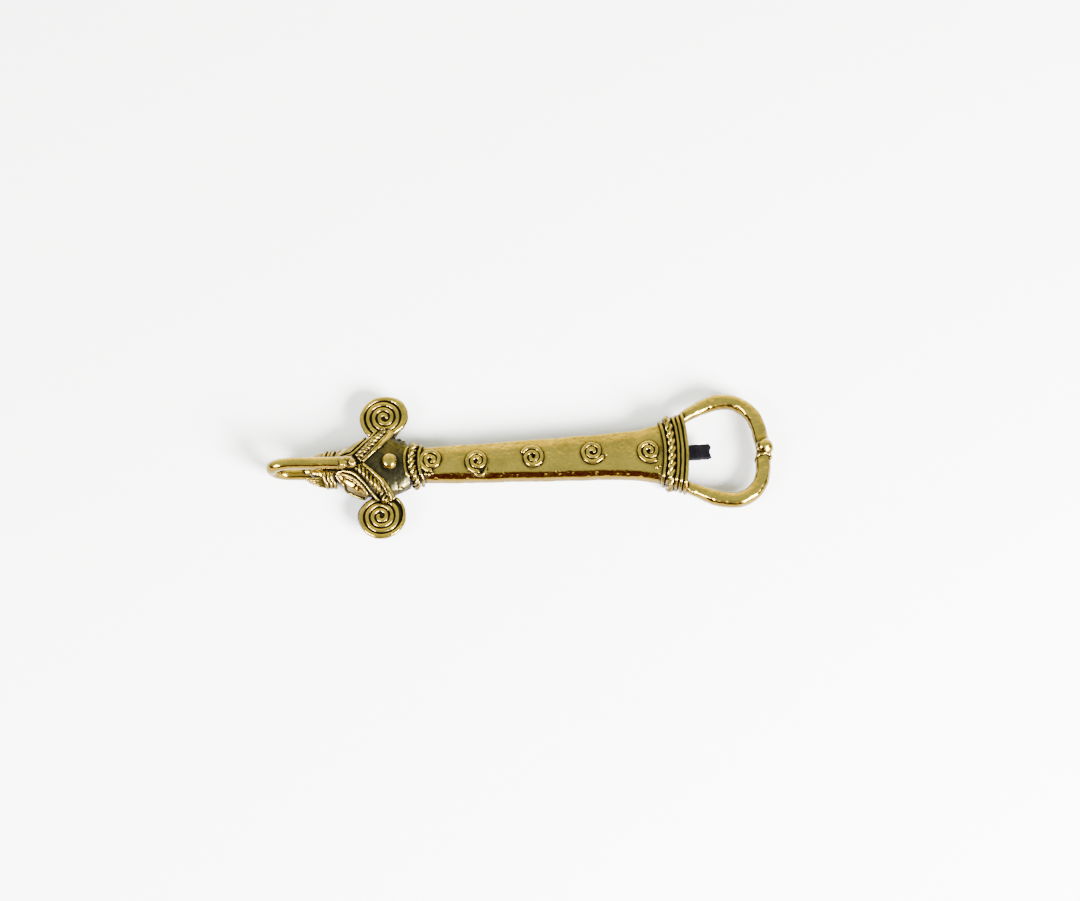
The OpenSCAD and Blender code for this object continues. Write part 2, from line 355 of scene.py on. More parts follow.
def ranged(tree, value, from_low, from_high, to_low=0.0, to_high=1.0):
    inputs = {0: value, 1: from_low, 2: from_high, 3: to_low, 4: to_high}
    return add(tree, "ShaderNodeMapRange", inputs).outputs[0]


def noisy(tree, place, scale, detail):
    inputs = {"Vector": place, "Scale": scale, "Detail": detail}
    return add(tree, "ShaderNodeTexNoise", inputs).outputs["Fac"]


def new_material(name):
    material = bpy.data.materials.new(name)
    material.use_nodes = True
    tree = material.node_tree
    tree.nodes.clear()
    shader = add(tree, "ShaderNodeBsdfPrincipled")
    output = add(tree, "ShaderNodeOutputMaterial")
    tree.links.new(shader.outputs[0], output.inputs[0])
    return material, tree, shader


def roughen(tree, shader, relief, depth):
    """Give the shader a relief, whose depth is in millimetres."""
    bump = add(tree, "ShaderNodeBump", {"Height": relief, "Strength": 1.0, "Distance": depth * MM})
    tree.links.new(bump.outputs[0], shader.inputs["Normal"])


SHELTER_REACH = 1.3                 # how near a hollow's walls have to be
FLANK_SHADE = (0.15, 0.14, 0.09, 1)         # how much of the face's colour the flanks keep, as painted shade
DIRT_ROUGHNESS = 0.4


def aged_brass(name, bright, deep, patina_and_shade, tarnish, grain_depth, polish):
    """Cast brass: flanks darkened as painted shade, dark patina in pits, patina and painted shade in
    hollows.

    bright and deep are the two colours of the bare metal. tarnish is how far the patina also
    covers what isn't hollow, from 0 to 1. polish is the clean metal's roughness.
    """
    material, tree, shader = new_material(name)
    place = add(tree, "ShaderNodeTexCoord").outputs["Object"]
    clouds = noisy(tree, place, 150, 3)
    mottle = noisy(tree, place, 1500, 3)
    grain = noisy(tree, place, 900, 2)

    cells = add(tree, "ShaderNodeTexVoronoi", {"Vector": place, "Scale": 850.0}).outputs["Distance"]
    pitted = maths(tree, "MULTIPLY", ranged(tree, cells, 0.22, 0.05), ranged(tree, clouds, 0.5, 0.66))
    # Ambient occlusion darkens what has walls near by: the patina the brass has in its hollows, and painted
    # shade there too.
    inputs = {"Distance": SHELTER_REACH * MM}
    shelter = add(tree, "ShaderNodeAmbientOcclusion", inputs, samples=8).outputs["AO"]
    hollow = ranged(tree, shelter, 0.95, 0.76)
    worn = maths(tree, "MULTIPLY", ranged(tree, grain, 0.45, 0.75), tarnish)
    film = maths(tree, "MULTIPLY", ranged(tree, clouds, 0.4, 0.68), tarnish)
    dark = maths(tree, "ADD", hollow, maths(tree, "ADD", worn, film))
    dark = maths(tree, "ADD", dark, maths(tree, "MULTIPLY", pitted, 0.8), clamped=True)

    broad_patches = ranged(tree, clouds, 0.3, 0.7, 0.0, 0.5)
    small_patches = ranged(tree, mottle, 0.35, 0.65, 0.0, 0.5)
    metal = blend(tree, maths(tree, "ADD", broad_patches, small_patches), bright, deep)
    # Painted shade: where the surface tilts away from up, its colour falls to FLANK_SHADE of the face's.
    normal = add(tree, "ShaderNodeNewGeometry").outputs["Normal"]
    upward = add(tree, "ShaderNodeSeparateXYZ", {0: normal}).outputs["Z"]
    painted_flank_shade = [c * share for c, share in zip(bright, FLANK_SHADE)]
    metal = blend(tree, ranged(tree, upward, 0.84, 0.74), metal, painted_flank_shade)
    # The dark colour is real patina, tarnish and pits, and painted shade in hollows.
    tree.links.new(blend(tree, dark, metal, patina_and_shade), shader.inputs["Base Color"])
    shader.inputs["Metallic"].default_value = 1.0

    smear = ranged(tree, dark, 0.0, 1.0, polish, DIRT_ROUGHNESS)
    rough = maths(tree, "ADD", smear, ranged(tree, grain, 0.3, 0.7, 0.0, 0.03))
    tree.links.new(rough, shader.inputs["Roughness"])
    roughen(tree, shader, maths(tree, "SUBTRACT", grain, maths(tree, "MULTIPLY", pitted, 1.2)), grain_depth)
    return material


def black_iron(name):
    """Dull iron with a forged scale."""
    material, tree, shader = new_material(name)
    place = add(tree, "ShaderNodeTexCoord").outputs["Object"]
    scale = noisy(tree, place, 900, 6)
    patches = ranged(tree, noisy(tree, place, 320, 3), 0.4, 0.7)
    colour = blend(tree, patches, (0.001, 0.001, 0.002, 1), (0.003, 0.0025, 0.003, 1))
    tree.links.new(colour, shader.inputs["Base Color"])
    shader.inputs["Specular IOR Level"].default_value = 0.05
    tree.links.new(ranged(tree, scale, 0.3, 0.7, 0.4, 0.75), shader.inputs["Roughness"])
    roughen(tree, shader, scale, 0.12)
    return material


BODY = next(iter(frame["bodies"]))
BRASS, OLD_BRASS, IRON = "brass", "old_brass", "iron"       # the record's material slots
MATERIALS = {
    BRASS: aged_brass("brass_with_painted_shade", bright=(0.88, 0.60, 0.085, 1), deep=(0.62, 0.46, 0.085, 1),
                      patina_and_shade=(0.014, 0.012, 0.007, 1), tarnish=0.2, grain_depth=0.015, polish=0.1),
    OLD_BRASS: aged_brass("dark_brass", bright=(0.15, 0.125, 0.055, 1), deep=(0.07, 0.06, 0.03, 1),
                          patina_and_shade=(0.02, 0.018, 0.010, 1), tarnish=0.6, grain_depth=0.03, polish=0.18),
    IRON: black_iron("black_iron"),
}

WIRE_STEP = 0.3             # along a wire, from ring to ring
ROPE_STEP = 0.16
WIRE_DENTS = ((0.09, 1.7), (0.04, 0.6))
ROPE_DENTS = ((0.09, 1.3), (0.04, 0.5))


# ---- handle ----

NECK_X = -36
NECK_HALF_W = 5.5
TAPER = 0.03
FLARE = 4.4
FLARE_START = 22
FLARE_END = HANDLE_HIGH.x - 1
FLARE_POWER = 3
HANDLE_SHIFT = -0.3         # the casting's handle lies a little to the left of its middle line

# The edge's corners, as pairs of in from the side and down from the top. The left edge has a broad
# bevel. The right edge is rolled over, with an upright side.
EDGES = {
    LEFT: ((3.6, 0.12), (1.9, 0.45), (0.3, 2.35)),
    RIGHT: ((3.0, 0.1), (0.5, 0.75), (0, 1.9)),
}
SIDE_FOOT = {LEFT: 1.6, RIGHT: 1.3}         # where each side begins to round under, up from the back
UNDER_EDGE = 1.2                            # in from the side
SECTION_CUTS = (12, 11, 11, 11, 7, 9)       # from corner to corner
SECTION_SMOOTHINGS = 4

HANDLE_STEPS = 300
SWAY, SWAY_LENGTH, SWAY_SEED = 0.16, 14, 3
SWELLS = ((0.025, 7, 8), (0.012, 2.2, 12))  # share of the width, length along the handle and seed


def handle_half_w(x):
    flared = max(0.0, (x - FLARE_START) / (FLARE_END - FLARE_START)) ** FLARE_POWER
    return NECK_HALF_W + TAPER * (x - NECK_X) + FLARE * flared


def handle_section(x, grow=0.0):
    """Pairs of y and z round the handle at x, from the middle of the top on round the left side."""
    w = handle_half_w(x) + grow
    top, bottom = HANDLE_TOP + grow, HANDLE_LOW.z - grow
    halves = []
    for side in (LEFT, RIGHT):
        edge = [(w - inward, top - down) for inward, down in EDGES[side]]
        corners = [(0, top), *edge, (w, bottom + SIDE_FOOT[side]), (w - UNDER_EDGE, bottom), (0, bottom)]
        half = []
        for (y0, z0), (y1, z1), cuts in zip(corners, corners[1:], SECTION_CUTS):
            half += [(side * mix(y0, y1, k / cuts), mix(z0, z1, k / cuts)) for k in range(cuts)]
        halves.append(half)
    loop = halves[0] + [(0, bottom)] + halves[1][:0:-1]
    for _ in range(SECTION_SMOOTHINGS):
        loop = [((a[0] + 2 * b[0] + c[0]) / 4, (a[1] + 2 * b[1] + c[1]) / 4)
                for a, b, c in zip(loop[-1:] + loop[:-1], loop, loop[1:] + loop[:1])]
    return [(y + HANDLE_SHIFT, z) for y, z in loop]


def swelling(along, side):
    """The factor by which that side of the handle is broader there."""
    return sum((amount * seeded(along, length, seed + side) for amount, length, seed in SWELLS), 1)


def handle():
    rings = []
    for i in range(HANDLE_STEPS + 1):
        x = mix(HANDLE_LOW.x, HANDLE_HIGH.x, i / HANDLE_STEPS)
        along = Vector((x, 0, 0))
        shift = SWAY * seeded(along, SWAY_LENGTH, SWAY_SEED)
        swell = {side: swelling(along, side) for side in (LEFT, RIGHT)}
        rings.append([Vector((x, y * swell[LEFT if y < 0 else RIGHT] + shift, z))
                      for y, z in handle_section(x)])
    dents = ((0.12, 8), (0.06, 2.6), (0.015, 0.9))
    piece("handle_bar", skin(rings), BRASS, dents=dents, pits=(0.14, 1.2, 0.04), seed=4)


def round_handle(x, r, bow, step, sink):
    """The closed line of a wire laid round the handle. bow moves its middle along X on the face."""
    mid = (HANDLE_LOW.z + HANDLE_TOP) / 2
    half_w = handle_half_w(x)
    loop = []
    for y, z in handle_section(x, grow=r - sink)[::2]:
        face = smooth_step((z - mid) / (HANDLE_TOP - mid))
        loop.append(Vector((x + bow * face * (1 - (y / half_w) ** 2), y, max(z, r + 0.02))))
    return even(loop, step, closed=True)


NECK_BAND_WIRE_R = 0.6
RING_BAND_WIRE_R = 0.6
ROPE_R = 1.35
WIRE_SINK = 0.3             # how deep a wire sinks into the handle
ROPE_SINK = 0.85


def collar_wire(node, r, bow, seed, shift=0.0):
    """A wire round the handle. Its middle is shift along X from the CAD wire's, and its sides stand back."""
    path = round_handle(middle(node).x + shift - bow / 2, r, bow, WIRE_STEP, WIRE_SINK)
    path = wandering(path, 0.14, 4, seed)
    rings = sweep(path, round_section(r, 14, power=2.2), closed=True, across=ALONG_X)
    piece(node, skin(rings, closed=True), BRASS, dents=WIRE_DENTS, seed=seed)


def collar_rope(node, bow, spacing, seed):
    path = round_handle(middle(node).x - bow / 2, ROPE_R, bow, ROPE_STEP, ROPE_SINK)
    turn = rope_turn(path, spacing)
    rings = sweep(path, rope_section(ROPE_R), closed=True, across=ALONG_X, turn=turn)
    piece(node, skin(rings, closed=True), BRASS, dents=ROPE_DENTS, seed=seed)


def collars():
    collar_wire("neck_wire_front", NECK_BAND_WIRE_R, -1.3, 21, shift=-0.25)
    collar_rope("neck_rope", -1.2, 1.9, 22)
    collar_wire("neck_wire_back", NECK_BAND_WIRE_R, -1.2, 23, shift=0.3)
    for i in range(1, 5):
        collar_wire(f"collar_wire_{i}", RING_BAND_WIRE_R, 1.4, 30 + i)
    collar_rope("collar_rope", 1.3, 2.5, 40)


SCROLL_ENDS = (-82, -75, 160, -20, -50)     # where each scroll's outer end points, in degrees
SCROLL_R = 0.68                             # of the wire
SCROLL_INNER = 0.35
SCROLL_OUTER = 3.65
SCROLL_TURNS = 2.15
SCROLL_RISE = 0.15                          # of the wire's middle line, from the handle's face

# The drops of wax beside a scroll, as the place from its middle and the radius, by the scroll's number.
SCROLL_DROPS = {
    0: (((-1.9, -4.5, -0.35), 0.55), ((-0.8, -4.7, -0.35), 0.6), ((0.2, -4.4, -0.35), 0.5)),
    3: (((4.2, -1.0, -0.3), 0.6),),
    4: (((2.0, -5.6, -0.45), 0.7), ((3.1, -5.2, -0.45), 0.6)),
}
TAILED_SCROLL = 1
SCROLL_TAIL = ((2.9, -2.4, -0.2), (1.9, -4.3, -0.35), (0.4, -4.7, -0.4), (-0.9, -4.0, -0.3), (0.3, -3.5, 0))
TAIL_R = 0.42


def scroll(i):
    """A coil of wire laid on the handle, with the tail or drops of wax left beside some of them."""
    node = f"handle_scroll_{i + 1}"
    centre = middle(node)
    centre.z = HANDLE_TOP + SCROLL_RISE
    seed = 50 + i
    path = spiral(centre, SCROLL_INNER, SCROLL_OUTER, SCROLL_ENDS[i], SCROLL_TURNS, step=0.2)
    path = wandering(path, 0.16, 2.0, seed)
    section = round_section(SCROLL_R, 16, squash=0.9, power=2.6)
    parts = [skin(sweep(path, section, scale=round_ends(SCROLL_R, path_length(path))))]
    parts += [pellet(centre + Vector(place), r) for place, r in SCROLL_DROPS.get(i, ())]
    if i == TAILED_SCROLL:
        tail = even([centre + Vector(place) for place in SCROLL_TAIL], 0.2)
        ends = round_ends(TAIL_R, path_length(tail))
        parts.append(skin(sweep(tail, round_section(TAIL_R, 12), scale=ends)))
    piece(node, joined(*parts), BRASS, dents=WIRE_DENTS, seed=seed)


# ---- opener ring ----

ROD_R = 2.45
BOW_START = 70              # the ring's bow lies past this X
BOW_INSET = 2.5             # from the ring's end to the bow's middle line
RING_LEAN = 0.04            # the left half reaches further and the right half less far, by this share of y

# Half of the ring's middle line, as pairs of x and y, from the leg to beside the bow.
RING_HALF = ((48.5, 8.6), (52.2, 12.0), (56.5, 14.3), (60.8, 16.2), (64.6, 16.9), (68.5, 16.5), (72.0, 14.5),
             (74.5, 11.4), (75.7, 7.6), (76.2, 3.6))


def ring_path():
    """The ring's middle line, from the right leg round to the left one."""
    front = Vector((box("opener_ring")[1].x - BOW_INSET, 0, MID_Z))
    right = [Vector((x - RING_LEAN * y, y, MID_Z)) for x, y in RING_HALF]
    left = [Vector((x + RING_LEAN * y, -y, MID_Z)) for x, y in reversed(RING_HALF)]
    return even(right + [front] + left, WIRE_STEP)


def opener_ring():
    path = wandering(ring_path(), 0.25, 9, 60)

    def thick(share):
        from_leg = min(share, 1 - share)
        size = mix(0.7, 1.0, smooth_step(from_leg / 0.2))
        return size, size
    rings = sweep(path, round_section(ROD_R, 44, squash=0.96, power=2.25), scale=thick)
    dents = ((0.16, 5), (0.09, 1.9), (0.035, 0.8))
    piece("opener_ring", skin(rings), BRASS, dents=dents, pits=(0.12, 1.9, 0.3), seed=61)


KNOB_R = 2.75
KNOB_DROPS = (((1.0, -2.5, 0.3), 0.9), ((1.6, -3.6, -0.3), 0.6), ((-1.9, -0.7, 0.4), 1.0))
TIE_R = 0.45
TIE_SINK = 0.05             # how far the tie's middle line lies inside the rod's surface
TIE_SLANT = 0.9             # how far it slants along the rod


def ring_knob():
    """The knob on the bow with its drops of wax, and a short wire tied round the rod beside it."""
    centre = middle("ring_knob") + Vector((-0.2, 0.2, 0.8))
    drops = [ball(centre + Vector(place), r, rows=10) for place, r in KNOB_DROPS]
    dents = ((0.2, 2.0), (0.08, 0.8))
    piece("ring_knob", joined(ball(centre, KNOB_R), *drops), BRASS, dents=dents, seed=62)
    beside_knob = middle("ring_knob_tie").y
    tie = min((p for p in ring_path() if p.x > BOW_START), key=lambda p: abs(p.y - beside_knob))
    reach = ROD_R - TIE_SINK
    loop = []
    for k in range(12):
        a = 2 * math.pi * k / 12
        along = TIE_SLANT * math.sin(a + 0.6)
        loop.append(Vector((tie.x + reach * math.cos(a), tie.y + along, MID_Z + reach * math.sin(a))))
    rings = sweep(even(loop, 0.25, closed=True), round_section(TIE_R, 12), closed=True, across=ALONG_Y)
    piece("ring_knob_tie", skin(rings, closed=True), BRASS, dents=((0.1, 1.2), (0.05, 0.5)), seed=63)


TONGUE_STEPS = 60
TONGUE_INSET = 0.35         # back along X, so that the ragged end doesn't pass the CAD tongue's


def tongue():
    """A flat iron strip with a ragged end."""
    low, high = box("cap_tongue")
    centre = middle("cap_tongue")
    half_w, half_t = (high.y - low.y) / 2, (high.z - low.z) / 2
    section = round_section(1.0, 44, power=7)
    rings = []
    for i in range(TONGUE_STEPS + 1):
        x = mix(low.x, high.x, i / TONGUE_STEPS)
        end = smooth_step((high.x - x) / 0.5)
        near_end = smooth_step((x - high.x + 2) / 2)
        ring = []
        for u, v in section:
            ragged = 0.9 * seeded(Vector((0, u * 2, v)), 0.8, 70) * near_end
            ring.append(Vector((x + ragged - TONGUE_INSET, centre.y + u * half_w * mix(0.9, 1, end),
                                centre.z + v * half_t * mix(0.75, 1, end))))
        rings.append(ring)
    piece("cap_tongue", skin(rings), IRON, dents=((0.14, 2.2), (0.1, 0.8)), seed=71)


# ---- head ----

HEAD_X = -44                # where the head is broadest
HEAD_HALF_W = 10.6
HEAD_RISE = 4.4
FACE_L = 18.5
NAPE_L = 9.0
HEAD_FRONT = -61.5
HEAD_BACK = -35.0
HEAD_STEPS = 110
HEAD_SIDES = 96
HEAD_EXPONENT = 0.86        # its cross-section is a little squarer than an oval

# Crumbs of wax at the nape, as places and radii.
BURRS = (((-38.2, 8.3, 5.6), 1.0), ((-36.9, 7.3, 5.9), 0.9),
         ((-37.4, 6.4, 7.0), 0.7), ((-39.3, 8.6, 5.0), 0.8))


def head_half_w(x):
    face = clamp((HEAD_X - x) / FACE_L, 0, 0.985)
    nape = max(0.0, (x - HEAD_X) / NAPE_L)
    return HEAD_HALF_W * (1 - face ** 1.55) ** 0.82 - 3.1 * nape ** 1.8


def head_rise(x):
    face = clamp((HEAD_X + 1 - x) / FACE_L, 0, 0.985)
    nape = max(0.0, (x - HEAD_X - 1) / NAPE_L)
    return HEAD_RISE * math.sqrt(1 - face ** 2.6) - 0.9 * nape ** 2


def head():
    rings = []
    for i in range(HEAD_STEPS + 1):
        x = mix(HEAD_FRONT, HEAD_BACK, i / HEAD_STEPS)
        w, rise = head_half_w(x), head_rise(x)
        ring = []
        for k in range(HEAD_SIDES):
            a = 2 * math.pi * k / HEAD_SIDES
            s = math.sin(a)
            y = w * flattened(math.cos(a), HEAD_EXPONENT)
            z = (rise if s > 0 else rise * 0.9) * flattened(s, HEAD_EXPONENT)
            ring.append(Vector((x, y, max(MID_Z + z, 0.05))))
        rings.append(ring)
    burrs = [pellet(Vector(place), r) for place, r in BURRS]
    dents = ((0.3, 6), (0.12, 2.2), (0.05, 0.8))
    solid = joined(skin(rings), *burrs)
    return piece("head_dome", solid, OLD_BRASS, dents=dents, pits=(0.22, 1.3, 0.35), seed=80)


class Surface:
    """Heights of the tops of finished pieces, so that wires can be laid on them."""

    def __init__(self, *things):
        self.trees = []
        for thing in things:
            points = [v.co / MM for v in thing.data.vertices]
            faces = [tuple(p.vertices) for p in thing.data.polygons]
            self.trees.append(BVHTree.FromPolygons(points, faces))

    def height(self, x, y, otherwise):
        hits = [tree.ray_cast(Vector((x, y, 40)), Vector((0, 0, -1)))[0] for tree in self.trees]
        return max([hit.z for hit in hits if hit] + [otherwise])


def forehead_bead():
    centre = middle("forehead_bead") + Vector((-0.2, -0.2, 0.35))
    bead = ball(centre, 2.6, squash=0.72)
    piece("forehead_bead", bead, BRASS, dents=((0.14, 2.0), (0.05, 0.8)), seed=81)


JAW_STEPS = 60
JAW_R = 4.4
JAW_REACH = 1.2             # how far the jaw comes forward of the CAD jaw


def jaw():
    """The lower jaw, rough with wax crumbs."""
    low, high = box("jaw")
    centre = middle("jaw")
    section = round_section(JAW_R, 64, squash=0.65, power=2.4)
    rings = []
    for i in range(JAW_STEPS + 1):
        t = i / JAW_STEPS
        x = mix(low.x - JAW_REACH, high.x, t)
        size = mix(0.55, 1.0, smooth_step(t / 0.45)) * math.sqrt(math.sin(math.radians(mix(9, 120, t))))
        rings.append([Vector((x, centre.y + u * size, centre.z + 0.5 + v * size)) for u, v in section])
    piece("jaw", skin(rings), BRASS, dents=((0.2, 2.2), (0.1, 0.9)), pits=(0.15, 1.1, 0.3), seed=82)


BAND_WIRE_R = 0.55
BAND_EXPONENT = 0.8         # the band's outline is squarer than an oval


def jaw_band():
    """Three wires round the jaw and the tusks' roots. Their sides stand back towards the head."""
    for i in range(1, 4):
        node = f"jaw_band_wire_{i}"
        low, high = box(node)
        centre = middle(node)
        half_w, half_h = (high.y - low.y) / 2 - BAND_WIRE_R, (high.z - low.z) / 2 - BAND_WIRE_R
        loop = []
        for k in range(24):
            a = 2 * math.pi * k / 24
            c, s = math.cos(a), math.sin(a)
            loop.append(Vector((centre.x - 0.6 + 1.3 * c * c, half_w * flattened(c, BAND_EXPONENT),
                                centre.z + half_h * flattened(s, BAND_EXPONENT))))
        path = wandering(even(loop, WIRE_STEP, closed=True), 0.16, 3.5, 83 + i)
        rings = sweep(path, round_section(BAND_WIRE_R, 14), closed=True, across=ALONG_X)
        piece(node, skin(rings, closed=True), BRASS, dents=WIRE_DENTS, seed=83 + i)


TUSK_WIRES = 4
TUSK_WIRE_R = 0.5
TUSK_TIP_L = 0.7            # over which the ends of its wires are rounded


def tusk(side, name):
    """A leaf of wires that part from one tip."""
    low, high = box(f"tusk_{name}")
    section = round_section(TUSK_WIRE_R, 14, squash=1.1)
    strands = []

    def width(share):
        return mix(0.5, 1.0, smooth_step(share / 0.8))
    for k in range(TUSK_WIRES):
        start = Vector((low.x + 0.4 + 0.45 * k, side * (3.1 + 0.25 * k), MID_Z + 0.4 - 0.25 * k))
        end = Vector((high.x - 1.5, side * (3.4 + 0.8 * k), MID_Z + 1.4 - 0.75 * k))
        bulge = Vector((0, side * (0.12 * k + 0.1), 0.3))
        bent = [start.lerp(end, t) + bulge * math.sin(math.pi * t) for t in (0, 0.2, 0.4, 0.6, 0.8, 1)]
        path = even(bent, 0.22)
        scale = round_ends(TUSK_TIP_L, path_length(path), width=width)
        strands.append(skin(sweep(path, section, scale=scale)))
    piece(f"tusk_{name}", joined(*strands), BRASS, dents=WIRE_DENTS, seed=87 + side)


TRUNK_R = 1.9
TRUNK_ROOT = ((-52.4, 0, 8.6), (-54.6, 0, 9.2), (-59, 0, 9.6))
TRUNK_END = ((-69, -0.3, 2.2), (-65, -0.5, 2.2), (-61, -0.6, 2.4))      # which runs into the jaw
TRUNK_BEADS = (("trunk_bead_large", -55.7, 1.75), ("trunk_bead_small", -52.9, 1.4))


def trunk():
    """A thick wire from between the eyes, curled back under itself at the tip, and the beads at its root."""
    tip = TRUNK_LOW.x + TRUNK_R - 0.4
    top = TRUNK_HIGH.z - TRUNK_R
    curl = ((-66, 0, top - 0.3), (tip + 5.6, 0, top), (tip + 2.3, 0, top - 0.5), (tip + 0.3, 0, top - 2.3),
            (tip + 0.2, 0, top - 4.6), (tip + 1.8, -0.1, top - 6.7), (tip + 4.6, -0.2, top - 8.1))
    points = [Vector(p) for p in (*TRUNK_ROOT, *curl, *TRUNK_END)]
    path = wandering(even(points, WIRE_STEP), 0.12, 7, 90)

    def thick(share):
        near_root = mix(1.12, 1.0, smooth_step(share / 0.16))
        near_end = mix(1.0, 0.96, smooth_step((share - 0.6) / 0.4))
        rounding = math.sqrt(1 - (1 - min(share / 0.025, 1.0)) ** 2 * 0.97)
        size = near_root * near_end * rounding
        return size, size
    rings = sweep(path, round_section(TRUNK_R, 44, power=2.15), across=ALONG_Y, scale=thick)
    piece("trunk", skin(rings), BRASS, dents=((0.12, 4.5), (0.06, 1.6), (0.025, 0.7)), seed=91)
    for node, x, r in TRUNK_BEADS:
        bead = ball(Vector((x, -0.85, TRUNK_HIGH.z - r - 0.25)), r, squash=0.95, rows=18)
        piece(node, bead, BRASS, dents=((0.45, 1.3), (0.12, 0.5)), seed=92)


# ---- ears ----

EAR_WIRE_R = 0.8
EAR_INNER = 0.45
EAR_SHIFT = -0.45                       # along X, from the middle of the CAD coil
EAR_DRAWN_IN = 0.4                      # along Y, from there towards the head
EAR_OUTER = {LEFT: 7.3, RIGHT: 7.4}     # from the middle of each coil to its outer end
EAR_END = {LEFT: 55, RIGHT: 262}        # where that end points, in degrees
EAR_TURNS = {LEFT: 3.9, RIGHT: 3.87}


def degrees_left(side, share):
    """How far the coil still has to turn at this share of the wire, in degrees."""
    r = math.sqrt(mix(EAR_INNER ** 2, EAR_OUTER[side] ** 2, share))
    return 360 * EAR_TURNS[side] * (EAR_OUTER[side] - r) / (EAR_OUTER[side] - EAR_INNER)


def ear_flare(side, share):
    """How much the wire spreads outward there, as a share of its radius, and how far it stands off, in mm.

    The right coil has a broad lip on its last turn. The left coil's end is thin and stands off.
    """
    left = degrees_left(side, share)
    if side == RIGHT:
        lip = 0.5 * smooth_step((306 - left) / 36) * smooth_step((left - 172) / 45)
        return lip, EAR_WIRE_R * lip
    end = smooth_step((130 - left) / 110)
    return -0.3 * end, 0.5 * end


def ear_coil(side, name, centre):
    path = spiral(centre, EAR_INNER, EAR_OUTER[side], EAR_END[side], EAR_TURNS[side], step=0.28)
    path = wandering(path, 0.14, 4, 100 + side)
    length = path_length(path)
    for i, p in enumerate(path):
        path[i] = p + (p - centre).normalized() * ear_flare(side, i / len(path))[1]
    scale = round_ends(EAR_WIRE_R, length, width=lambda share: 1 + ear_flare(side, share)[0])
    rings = sweep(path, round_section(EAR_WIRE_R, 20, power=2.2), scale=scale)
    return piece(f"ear_coil_{name}", skin(rings), BRASS, dents=((0.1, 2.4), (0.05, 0.8)), seed=101 + side)


PLATE_R = 7.2
PLATE_SIDES = 80
TAB_Y = 5.6                 # the plate's tab begins this far in from the coil's middle
TAB_PULL = 1.6              # and draws the plate this much further in, under the brow
TAB_HALF_W = 4.5


def ear_plate(side, name, centre):
    """A dark round sheet under the coil, with a tab that is pressed onto the head."""
    low, high = box(f"ear_plate_{name}")
    tab = Vector((centre.x + 0.6, centre.y - side * TAB_Y, 0))
    levels = ((low.z, 0.9), (low.z + 0.15, 0.97), (mix(low.z, high.z, 0.5), 1.0), (high.z - 0.15, 0.98),
              (high.z + 0.1, 0.94))     # pairs of z and the share of the plate's radius
    rings = []
    for z, size in levels:
        ring = []
        for k in range(PLATE_SIDES):
            a = 2 * math.pi * k / PLATE_SIDES
            reach = PLATE_R * size * (1 + 0.03 * math.sin(3 * a + side))
            p = Vector((centre.x + reach * math.cos(a), centre.y + reach * math.sin(a), z))
            beyond_tab = (p.y - tab.y) * side < 0
            pull = smooth_step(1 - abs(p.x - tab.x) / TAB_HALF_W) if beyond_tab else 0.0
            p.y -= side * TAB_PULL * pull
            ring.append(p)
        rings.append(ring)
    piece(f"ear_plate_{name}", skin(rings), OLD_BRASS, dents=((0.12, 2.5), (0.05, 0.9)), seed=103 + side)


# ---- eyes and brow ----

EYE_ANGLE = math.radians(36.5)
EYE_OUT = {LEFT: 0.1, RIGHT: 0.3}       # how far each eye lies out from the CAD eye
EYE_HALF_L = 5.7
EYE_HALF_W = 1.5
EYE_STAND_OFF = 0.4                     # how far the eye stands off the steep side of the cheek
EYE_STEPS = 40
EYE_TIP = 0.97                          # where the lens ends, as a share of its half length

# Round the lens: across as a share of the half width, the lift, and what it gains where the lens is broad.
LENS_OUTLINE = ((-1, -0.5, 0), (-0.5, 0.2, 0.5), (0, 0.4, 0), (0.5, 0.2, 0.5), (1, -0.5, 0), (0, -1.2, 0))
LENS_CUTS = 5
LID_R = 0.5
LID_LIFTS = {"upper": 0.32, "lower": 0.1}


def eye(side, name, surface):
    """A leaf-shaped lens with a groove along it, between two lids of wire that lie on the cheek."""
    along = Vector((math.cos(EYE_ANGLE), side * math.sin(EYE_ANGLE), 0))
    out = Vector((-math.sin(EYE_ANGLE), side * math.cos(EYE_ANGLE), 0))
    centre = middle(f"eye_rim_{name}") + out * EYE_OUT[side]

    def laid(u, v, lift):
        p = centre + along * u + out * v
        inward = p - out * EYE_STAND_OFF
        return Vector((p.x, p.y, surface.height(inward.x, inward.y, 2.4) + lift))

    def half_w(t):
        return EYE_HALF_W * max(1 - t * t, 0) ** 0.8
    rings = []
    for i in range(EYE_STEPS + 1):
        t = mix(-EYE_TIP, EYE_TIP, i / EYE_STEPS)
        w = half_w(t) + 0.1
        broad = w / EYE_HALF_W
        outline = [laid(t * EYE_HALF_L, w * v, lift + gain * broad) for v, lift, gain in LENS_OUTLINE]
        rings.append([a.lerp(b, k / LENS_CUTS)
                      for a, b in zip(outline, outline[1:] + outline[:1]) for k in range(LENS_CUTS)])
    piece(f"eye_{name}", skin(rings), BRASS, dents=((0.05, 1.6),), seed=110 + side)
    loop = []
    for k in range(32):
        a = 2 * math.pi * k / 32
        t = math.cos(a)
        v = math.copysign(half_w(t), math.sin(a))
        loop.append(laid(t * (EYE_HALF_L + 0.2), v, LID_LIFTS["upper" if v < 0 else "lower"]))
    path = wandering(even(loop, 0.28, closed=True), 0.1, 2.5, 112 + side)
    rings = sweep(path, round_section(LID_R, 12), closed=True)
    piece(f"eye_rim_{name}", skin(rings, closed=True), BRASS, dents=WIRE_DENTS, seed=114 + side)


